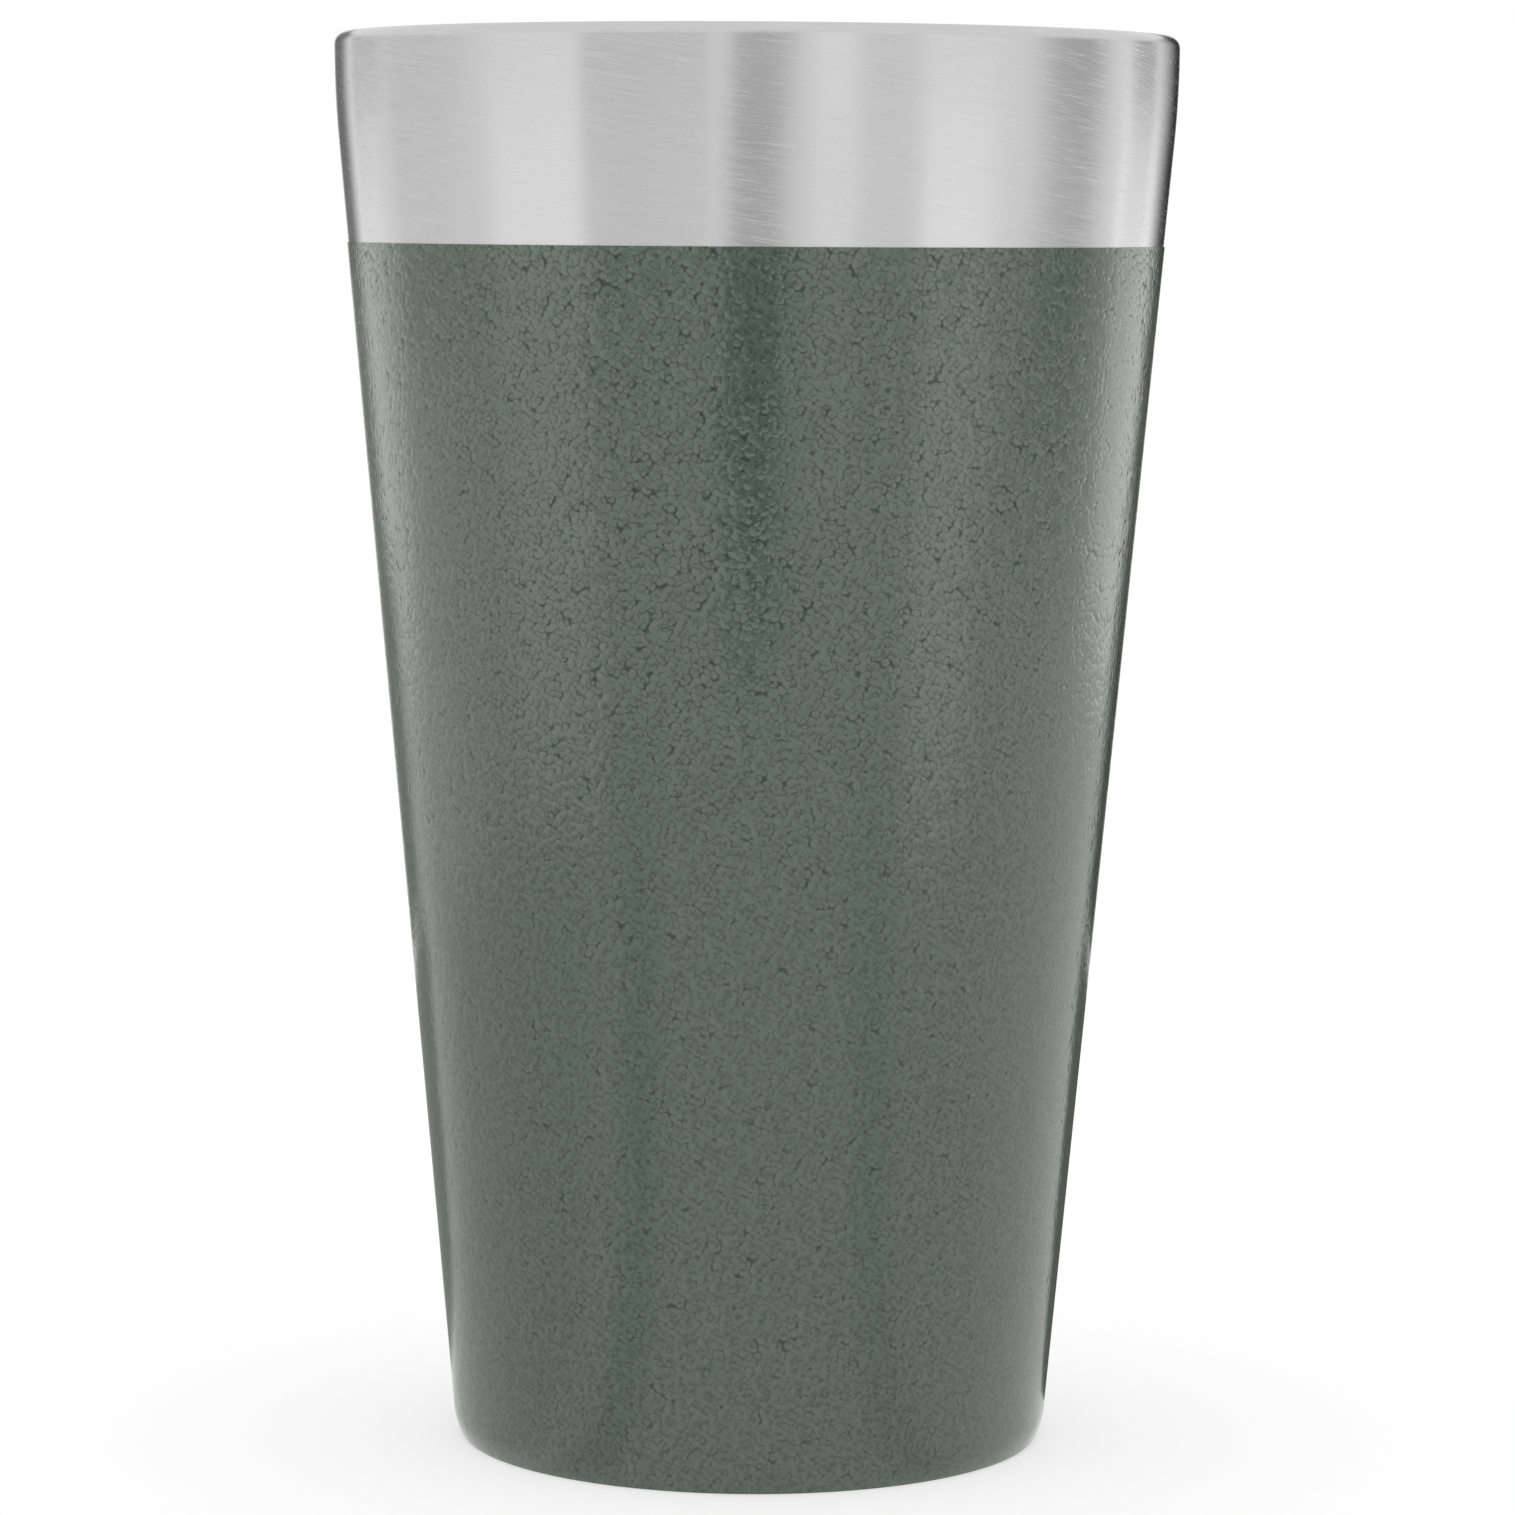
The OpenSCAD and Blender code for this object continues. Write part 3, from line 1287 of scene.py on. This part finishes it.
@dataclass(frozen=True)
class Studio:
    """White table, white surround, the camera, and the screens that the cup reflects."""

    table_r: float = 1.1
    table_sides: int = 96
    table_fade: float = 0.45
    table_colour: Colour = (0.86, 0.86, 0.86, 1)
    table_white: float = 0.50
    table_veil: Colour = (0.60, 0.60, 0.60, 1)
    fill: float = 0.95
    camera_at: tuple[float, float, float] = (0.0, -0.583, 0.13144)
    camera_pitch: float = math.radians(5.708)
    camera_yaw: float = math.radians(0.048)
    camera_roll: float = math.radians(0.353)
    lens: float = 129.78
    sensor: float = 36.0
    clip: tuple[float, float] = (0.01, 20.0)
    screens: tuple[Screen, ...] = (
        Card("card_front", -7.5, 14, 0.60, fade_in=3.5, fade_out=9, distance=0.45, low=0.0, high=0.28),
        Card("card_front_low", -11.5, 10, 0.18, fade_in=7, fade_out=8, distance=0.44, low=0.0, high=0.075),
        Card("card_front_left", -47.5, -12, 0.70, fade_in=1.5, fade_out=1.5),
        Card("softbox_front_left", -68, -47.5, 1.03, fade_in=13, fade_out=1.5),
        Card("sweep_left", -112, -74, 1.05, fade_in=10, fade_out=4, around=1.1,
             distance=0.3, low=0.0, high=0.085),
        Card("sweep_front_left", -74, -45, 1.30, fade_in=4, fade_out=2, around=1.1,
             distance=0.3, low=0.0, high=0.105),
        Card("card_left", -152, -68, 0.78, fade_in=5, fade_out=28),
        Card("card_back_left", -152, -118, 0.60, fade_in=5, fade_out=8, around=0.78, distance=0.95),
        Card("softbox_front_right", 14, 27, 1.16, fade_in=3, fade_out=3),
        Card("card_front_right", 27, 43.5, 0.86, fade_in=2, fade_out=2),
        Card("softbox_right", 43.5, 72, 1.02, fade_in=2, fade_out=14),
        Card("sweep_right", 42.5, 72, 1.48, fade_in=3, fade_out=14, distance=0.3, low=0.0, high=0.085),
        Card("card_right", 72, 114, 0.42, fade_in=20, fade_out=17),
        Card("card_back_right", 116, 152, 0.40, fade_in=8, fade_out=2),
        Card("strip_back_right", 113.5, 150, 1.68, fade_in=4, fade_out=8, distance=0.6, low=0.0, high=0.1),
        Card("strip_back_left", -150, -114, 1.45, fade_in=8, fade_out=14, distance=0.6, low=0.0, high=0.1),
        Card("flag_left", -163, -136, 0.17, fade_in=2, fade_out=13, distance=0.35, low=0.115, high=0.24),
        Card("flag_mid_left", -163, -139, 0.25, fade_in=2, fade_out=10,
             distance=0.35, low=0.06, high=0.115),
        Card("flag_low_left", -163, -134, 0.25, fade_in=2, fade_out=12, distance=0.35, low=0.0, high=0.06),
        FloorCard("flag_floor_left", -176, -136, 0.3, fade_in=10, fade_out=8, apex_x=-0.031,
                  near=0.004, near_full=0.016, far_full=0.3, far=0.34),
        Card("flag_right", 131, 165, 0.03, fade_in=24, fade_out=2, around=0.85,
             distance=0.35, low=0.115, high=0.24),
        Card("flag_mid_right", 139, 165, 0.08, fade_in=11, fade_out=2, distance=0.35, low=0.06, high=0.115),
        Card("flag_low_right", 138, 165, 0.05, fade_in=12, fade_out=2, distance=0.35, low=0.0, high=0.06),
        FloorCard("flag_floor_right", 143, 178, 0.1, fade_in=7, fade_out=2, apex_x=0.031,
                  near=0.004, near_full=0.016, far_full=0.3, far=0.34),
        FloorCard("floor_front", -130, 110, 0.95, fade_in=20, fade_out=60),
        FloorCard("floor_left", -125, -46, 0.80, fade_in=20, fade_out=14, around=0.95,
                  lift=0.4 * MM, far_full=0.3),
        FloorCard("floor_band_left", -45, -25, 0.70, fade_in=8, fade_out=8, around=0.95, lift=0.4 * MM),
        FloorCard("floor_band_right", 27, 48, 0.78, fade_in=8, fade_out=8, around=0.95, lift=0.4 * MM),
    )

    def table(self) -> None:
        """Makes the round white table, whose edge melts into the surround."""
        made = bmesh.new()
        bmesh.ops.create_circle(made, cap_ends=True, segments=self.table_sides, radius=self.table_r)
        table = set_out(made, "table")
        table.data.materials.append(self.table_material())

    def table_material(self) -> bpy.types.Material:
        """White that keeps the cup's shadow and shows clean white to the camera.

        Returns:
            The table's material.
        """
        made, nodes = blank_material("white table")
        lit = nodes.add("ShaderNodeBsdfDiffuse", {"Color": self.table_colour}).outputs[0]
        veiled = nodes.add("ShaderNodeBsdfDiffuse", {"Color": self.table_veil}).outputs[0]
        white = nodes.add("ShaderNodeEmission", {"Strength": self.table_white}).outputs[0]
        shown = nodes.run("ShaderNodeAddShader", veiled, white)
        gone = nodes.eased(Place(nodes).reach(), self.table_fade / MM, self.table_r / MM)
        clear = nodes.add("ShaderNodeBsdfTransparent").outputs[0]
        surface = nodes.mixed(gone, nodes.mixed(nodes.seen_white(), lit, shown), clear)
        nodes.add("ShaderNodeOutputMaterial", {"Surface": surface})
        return made

    def surround(self) -> None:
        """Sets the white surround, and the level at which it lights the cup."""
        world = bpy.data.worlds.new("white surround")
        bpy.context.scene.world = world
        world.use_nodes = True
        nodes = Nodes(world.node_tree)
        light, white = (nodes.run("ShaderNodeBackground", WHITE, level) for level in (self.fill, 1.0))
        shown = nodes.mixed(nodes.seen_white(), light, white)
        nodes.add("ShaderNodeOutputWorld", {"Surface": shown})

    def camera(self) -> None:
        """Stands the camera where the photo was taken from."""
        data = bpy.data.cameras.new("camera")
        data.lens, data.sensor_width = self.lens, self.sensor
        data.clip_start, data.clip_end = self.clip
        camera = bpy.data.objects.new("camera", data)
        bpy.context.scene.collection.objects.link(camera)
        camera.matrix_world = (
            Matrix.Translation(self.camera_at)
            @ Matrix.Rotation(-self.camera_yaw, 4, "Z")
            @ Matrix.Rotation(math.pi / 2 - self.camera_pitch, 4, "X")
            @ Matrix.Rotation(self.camera_roll, 4, "Z")
        )
        bpy.context.scene.camera = camera

    def build(self) -> None:
        """Sets up the whole studio."""
        self.table()
        self.surround()
        self.camera()
        for screen in self.screens:
            screen.build()
        bpy.context.scene.view_settings.view_transform = "Standard"


def corners(box: Sequence[Vector]) -> list[list[float]]:
    """The lowest and highest corner of a box as plain lists."""
    return [list(corner) for corner in box]


def main() -> None:
    """Builds the cup and the studio."""
    logging.basicConfig(level=logging.INFO, format="%(name)s %(message)s")
    form = CupForm.from_frame()
    foot = Foot(form)
    for assembly in (OuterWall(form, foot), Liner.from_frame(form), foot, VacuumFittings()):
        assembly.build()
    Studio().build()


if __name__ == "__main__":
    main()
